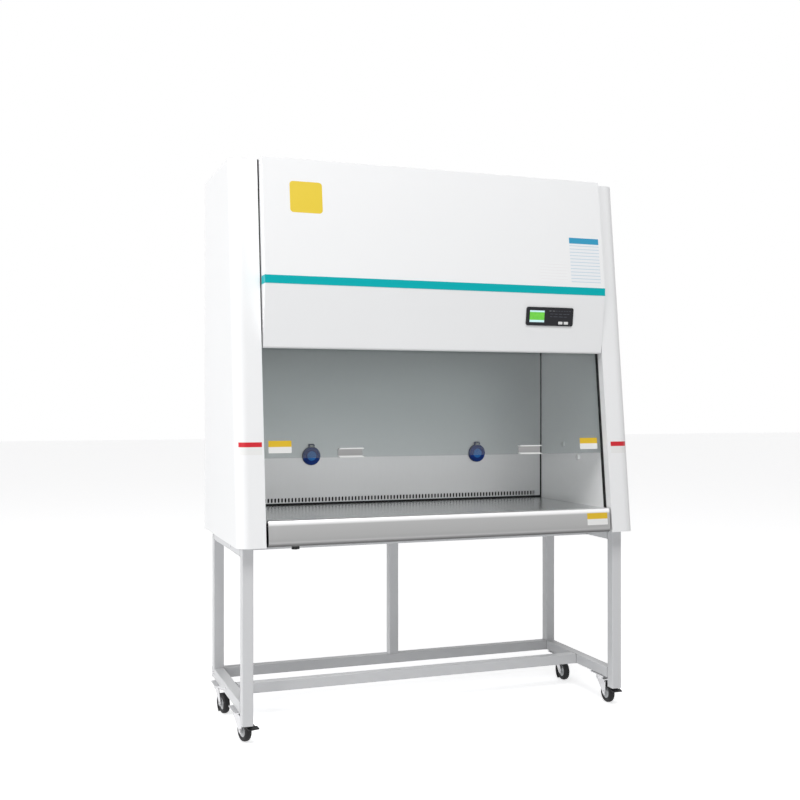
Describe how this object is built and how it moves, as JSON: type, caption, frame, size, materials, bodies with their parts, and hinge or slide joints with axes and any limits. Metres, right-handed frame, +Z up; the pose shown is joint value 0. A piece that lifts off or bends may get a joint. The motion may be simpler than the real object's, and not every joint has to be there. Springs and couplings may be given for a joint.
{
  "type": "biosafety cabinet",
  "caption": "Floor-standing biosafety cabinet with a leaning white casing, sliding glass sash, stainless work chamber, hinged front panel with display, and square-tube stand on swivel casters.",
  "frame": {"origin": "on the floor, at the centre of the bounding box", "axes": "+X to the user's right, +Y to the back, +Z up; the sash faces -Y"},
  "size_m": [1.5, 0.64, 1.986],
  "materials": {
    "casing_paint": "white powder coat, fine orange peel",
    "accent_paint": "teal gloss band",
    "stainless_steel": "brushed stainless steel",
    "diffuser_steel": "perforated stainless steel",
    "stand_paint": "silver-grey powder coat",
    "sash_glass": "clear laminated glass with a faint green cast",
    "handle_plastic": "black moulded plastic",
    "guide_plastic": "black plastic channel",
    "bezel_plastic": "black gloss overlay",
    "screen_glass": "liquid-crystal display window",
    "button_plastic": "white key cap",
    "socket_plastic": "dark blue moulded plastic",
    "lid_plastic": "blue moulded plastic",
    "plug_plastic": "white push-in plug",
    "lamp_glass": "white coated lamp tube",
    "holder_plastic": "white lamp holder",
    "filter_media": "pleated glass-fibre paper",
    "galvanised_steel": "galvanised sheet",
    "motor_paint": "black enamel",
    "cast_iron_weight": "plain casting",
    "valve_plastic": "black valve body",
    "zinc_steel": "zinc-plated pressed steel",
    "caster_tyre": "black tread on a grey wheel centre",
    "pedal_plastic": "dark brake tread"
  },
  "bodies": {
    "cabinet": {"air_diffuser": "diffuser_steel", "back_panel": "casing_paint", "base_pan": "casing_paint", "blower_housing": "galvanised_steel", "blower_motor": "motor_paint", "caster_plates": "zinc_steel", "chamber_back_wall": "stainless_steel", "chamber_left_wall": "stainless_steel", "chamber_right_wall": "stainless_steel", "exhaust_filter": "filter_media", "exhaust_guard": "galvanised_steel", "front_fascia": "stainless_steel", "intake_grille": "stainless_steel", "lamp_holders": "holder_plastic", "lamp_tube": "lamp_glass", "left_side_panel": "casing_paint", "leg_front_left": "stand_paint", "leg_front_right": "stand_paint", "leg_rear_left": "stand_paint", "leg_rear_right": "stand_paint", "lower_rail_front": "stand_paint", "lower_rail_left": "stand_paint", "lower_rail_rear": "stand_paint", "lower_rail_right": "stand_paint", "port_plugs": "plug_plastic", "rear_post": "stand_paint", "right_side_panel": "casing_paint", "sash_guides": "guide_plastic", "socket_bodies": "socket_plastic", "supply_filter": "filter_media", "supply_plenum": "galvanised_steel", "top_panel": "casing_paint", "upper_rail_left": "stand_paint", "upper_rail_middle": "stand_paint", "upper_rail_rear": "stand_paint", "upper_rail_right": "stand_paint", "work_surface": "stainless_steel"},
    "sash": {"sash_glass": "sash_glass", "sash_handles": "handle_plastic"},
    "counterweights": {"counterweights": "cast_iron_weight"},
    "front_panel": {"front_panel": "casing_paint", "accent_stripe": "accent_paint", "display_bezel": "bezel_plastic", "display_screen": "screen_glass"},
    "start_button": {"start_button": "button_plastic"},
    "light_button": {"light_button": "button_plastic"},
    "blower_wheel": {"blower_wheel": "galvanised_steel"},
    "socket_lid_left": {"socket_lid_left": "lid_plastic"},
    "socket_lid_right": {"socket_lid_right": "lid_plastic"},
    "drain_valve": {"drain_valve": "valve_plastic"},
    "caster_front_left": {"fork_front_left": "zinc_steel"},
    "wheel_front_left": {"wheel_front_left": "caster_tyre"},
    "brake_front_left": {"brake_pedal_front_left": "pedal_plastic"},
    "caster_front_right": {"fork_front_right": "zinc_steel"},
    "wheel_front_right": {"wheel_front_right": "caster_tyre"},
    "brake_front_right": {"brake_pedal_front_right": "pedal_plastic"},
    "caster_rear_left": {"fork_rear_left": "zinc_steel"},
    "wheel_rear_left": {"wheel_rear_left": "caster_tyre"},
    "caster_rear_right": {"fork_rear_right": "zinc_steel"},
    "wheel_rear_right": {"wheel_rear_right": "caster_tyre"}
  },
  "joints": [
    {"name": "sash_slide", "type": "slide", "parent": "cabinet", "child": "sash", "axis": [0, 0.1131, 0.9936], "range_m": [-0.202, 0.25]},
    {"name": "counterweight_slide", "type": "slide", "parent": "cabinet", "child": "counterweights", "axis": [0, 0, 1], "range_m": [-0.25, 0.202]},
    {"name": "front_panel_hinge", "type": "hinge", "parent": "cabinet", "child": "front_panel", "pos_m": [0, -0.1688, 1.986], "axis": [-1, 0, 0], "range_deg": [0, 70]},
    {"name": "start_button_press", "type": "slide", "parent": "front_panel", "child": "start_button", "axis": [0, 0.9905, 0.1376], "range_m": [0, 0.0015], "stiffness_N_per_m": 400},
    {"name": "light_button_press", "type": "slide", "parent": "front_panel", "child": "light_button", "axis": [0, 0.9905, 0.1376], "range_m": [0, 0.0015], "stiffness_N_per_m": 400},
    {"name": "blower_spin", "type": "hinge", "parent": "cabinet", "child": "blower_wheel", "pos_m": [-0.26, 0.06, 1.7215], "axis": [1, 0, 0], "continuous": true},
    {"name": "socket_lid_left_hinge", "type": "hinge", "parent": "cabinet", "child": "socket_lid_left", "pos_m": [-0.351, 0.2327, 0.982], "axis": [-1, 0, 0], "range_deg": [0, 100]},
    {"name": "socket_lid_right_hinge", "type": "hinge", "parent": "cabinet", "child": "socket_lid_right", "pos_m": [0.351, 0.2327, 0.982], "axis": [-1, 0, 0], "range_deg": [0, 100]},
    {"name": "drain_valve_turn", "type": "hinge", "parent": "cabinet", "child": "drain_valve", "pos_m": [-0.536, -0.242, 0.66], "axis": [0, 0, 1], "range_deg": [0, 90]},
    {"name": "caster_front_left_swivel", "type": "hinge", "parent": "cabinet", "child": "caster_front_left", "pos_m": [-0.71, -0.154, 0.09], "axis": [0, 0, 1], "continuous": true},
    {"name": "wheel_front_left_spin", "type": "hinge", "parent": "caster_front_left", "child": "wheel_front_left", "pos_m": [-0.70087, -0.19089, 0.0375], "axis": [0.9707, 0.2402, 0], "continuous": true},
    {"name": "brake_front_left_press", "type": "hinge", "parent": "caster_front_left", "child": "brake_front_left", "pos_m": [-0.69943, -0.19671, 0.08], "axis": [0.9707, 0.2402, 0], "range_deg": [0, 6]},
    {"name": "caster_front_right_swivel", "type": "hinge", "parent": "cabinet", "child": "caster_front_right", "pos_m": [0.71, -0.154, 0.09], "axis": [0, 0, 1], "continuous": true},
    {"name": "wheel_front_right_spin", "type": "hinge", "parent": "caster_front_right", "child": "wheel_front_right", "pos_m": [0.70934, -0.19199, 0.0375], "axis": [0.9998, -0.0175, 0], "continuous": true},
    {"name": "brake_front_right_press", "type": "hinge", "parent": "caster_front_right", "child": "brake_front_right", "pos_m": [0.70923, -0.19799, 0.08], "axis": [0.9998, -0.0175, 0], "range_deg": [0, 6]},
    {"name": "caster_rear_left_swivel", "type": "hinge", "parent": "cabinet", "child": "caster_rear_left", "pos_m": [-0.71, 0.198, 0.09], "axis": [0, 0, 1], "continuous": true},
    {"name": "wheel_rear_left_spin", "type": "hinge", "parent": "caster_rear_left", "child": "wheel_rear_left", "pos_m": [-0.70471, 0.16037, 0.0375], "axis": [0.9903, 0.1392, 0], "continuous": true},
    {"name": "caster_rear_right_swivel", "type": "hinge", "parent": "cabinet", "child": "caster_rear_right", "pos_m": [0.71, 0.198, 0.09], "axis": [0, 0, 1], "continuous": true},
    {"name": "wheel_rear_right_spin", "type": "hinge", "parent": "caster_rear_right", "child": "wheel_rear_right", "pos_m": [0.70934, 0.16001, 0.0375], "axis": [0.9998, -0.0175, 0], "continuous": true}
  ],
  "couplings": [
    {"joint": "counterweight_slide", "follows": "sash_slide", "ratio": -1}
  ]
}
